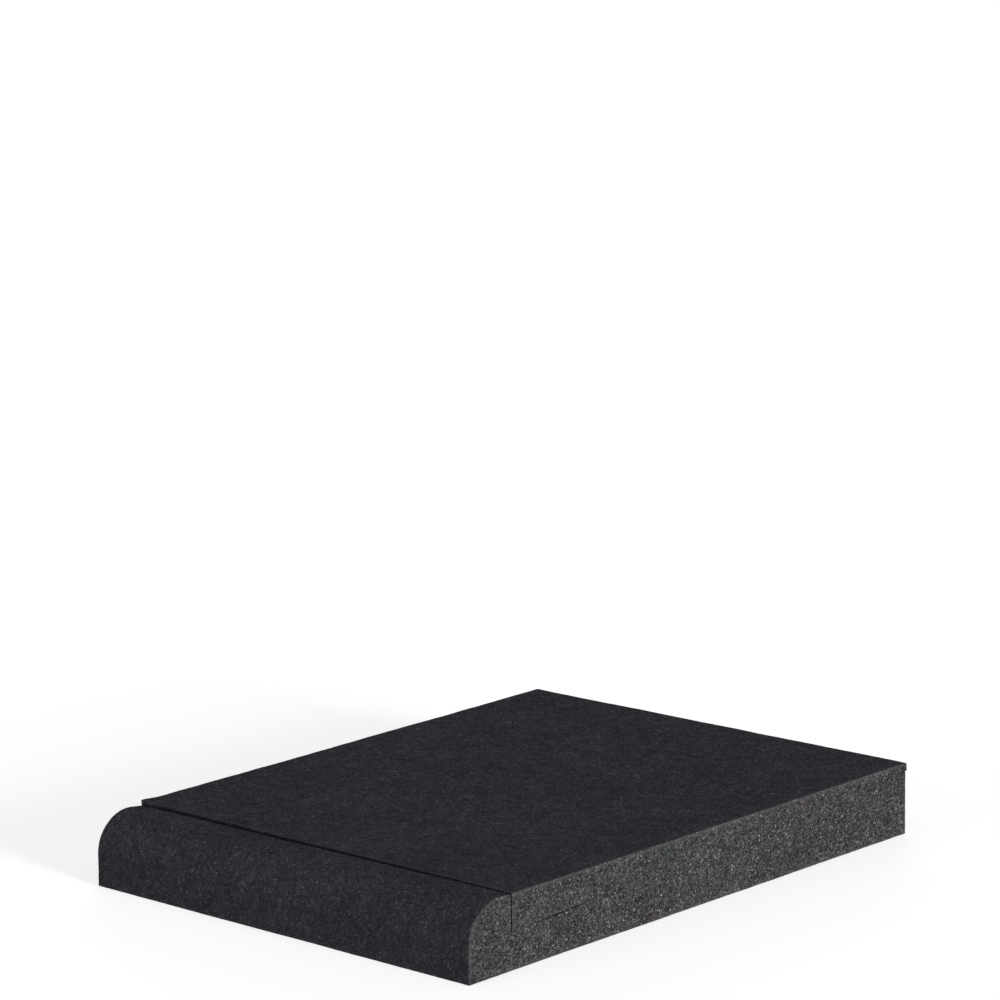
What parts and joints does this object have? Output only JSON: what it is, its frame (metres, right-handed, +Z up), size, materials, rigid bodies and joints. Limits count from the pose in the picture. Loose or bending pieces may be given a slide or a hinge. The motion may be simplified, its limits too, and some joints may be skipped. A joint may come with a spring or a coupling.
{
  "type": "speaker isolation pad",
  "caption": "Rectangular charcoal foam isolation pad: a base block with a rounded front lip and a sloping seat, and a loose foam wedge that levels its top.",
  "frame": {"origin": "middle of the underside of the pad with its wedge in place", "axes": "+Z up from the surface the pad lies on, +Y from the front lip to the rear, +X to the right seen from the front"},
  "size_m": [0.3, 0.3714, 0.043],
  "materials": {
    "charcoal_foam": "matte open-cell foam"
  },
  "bodies": {
    "root": {"base_pad": "charcoal_foam", "wedge_insert": "charcoal_foam"}
  },
  "joints": []
}
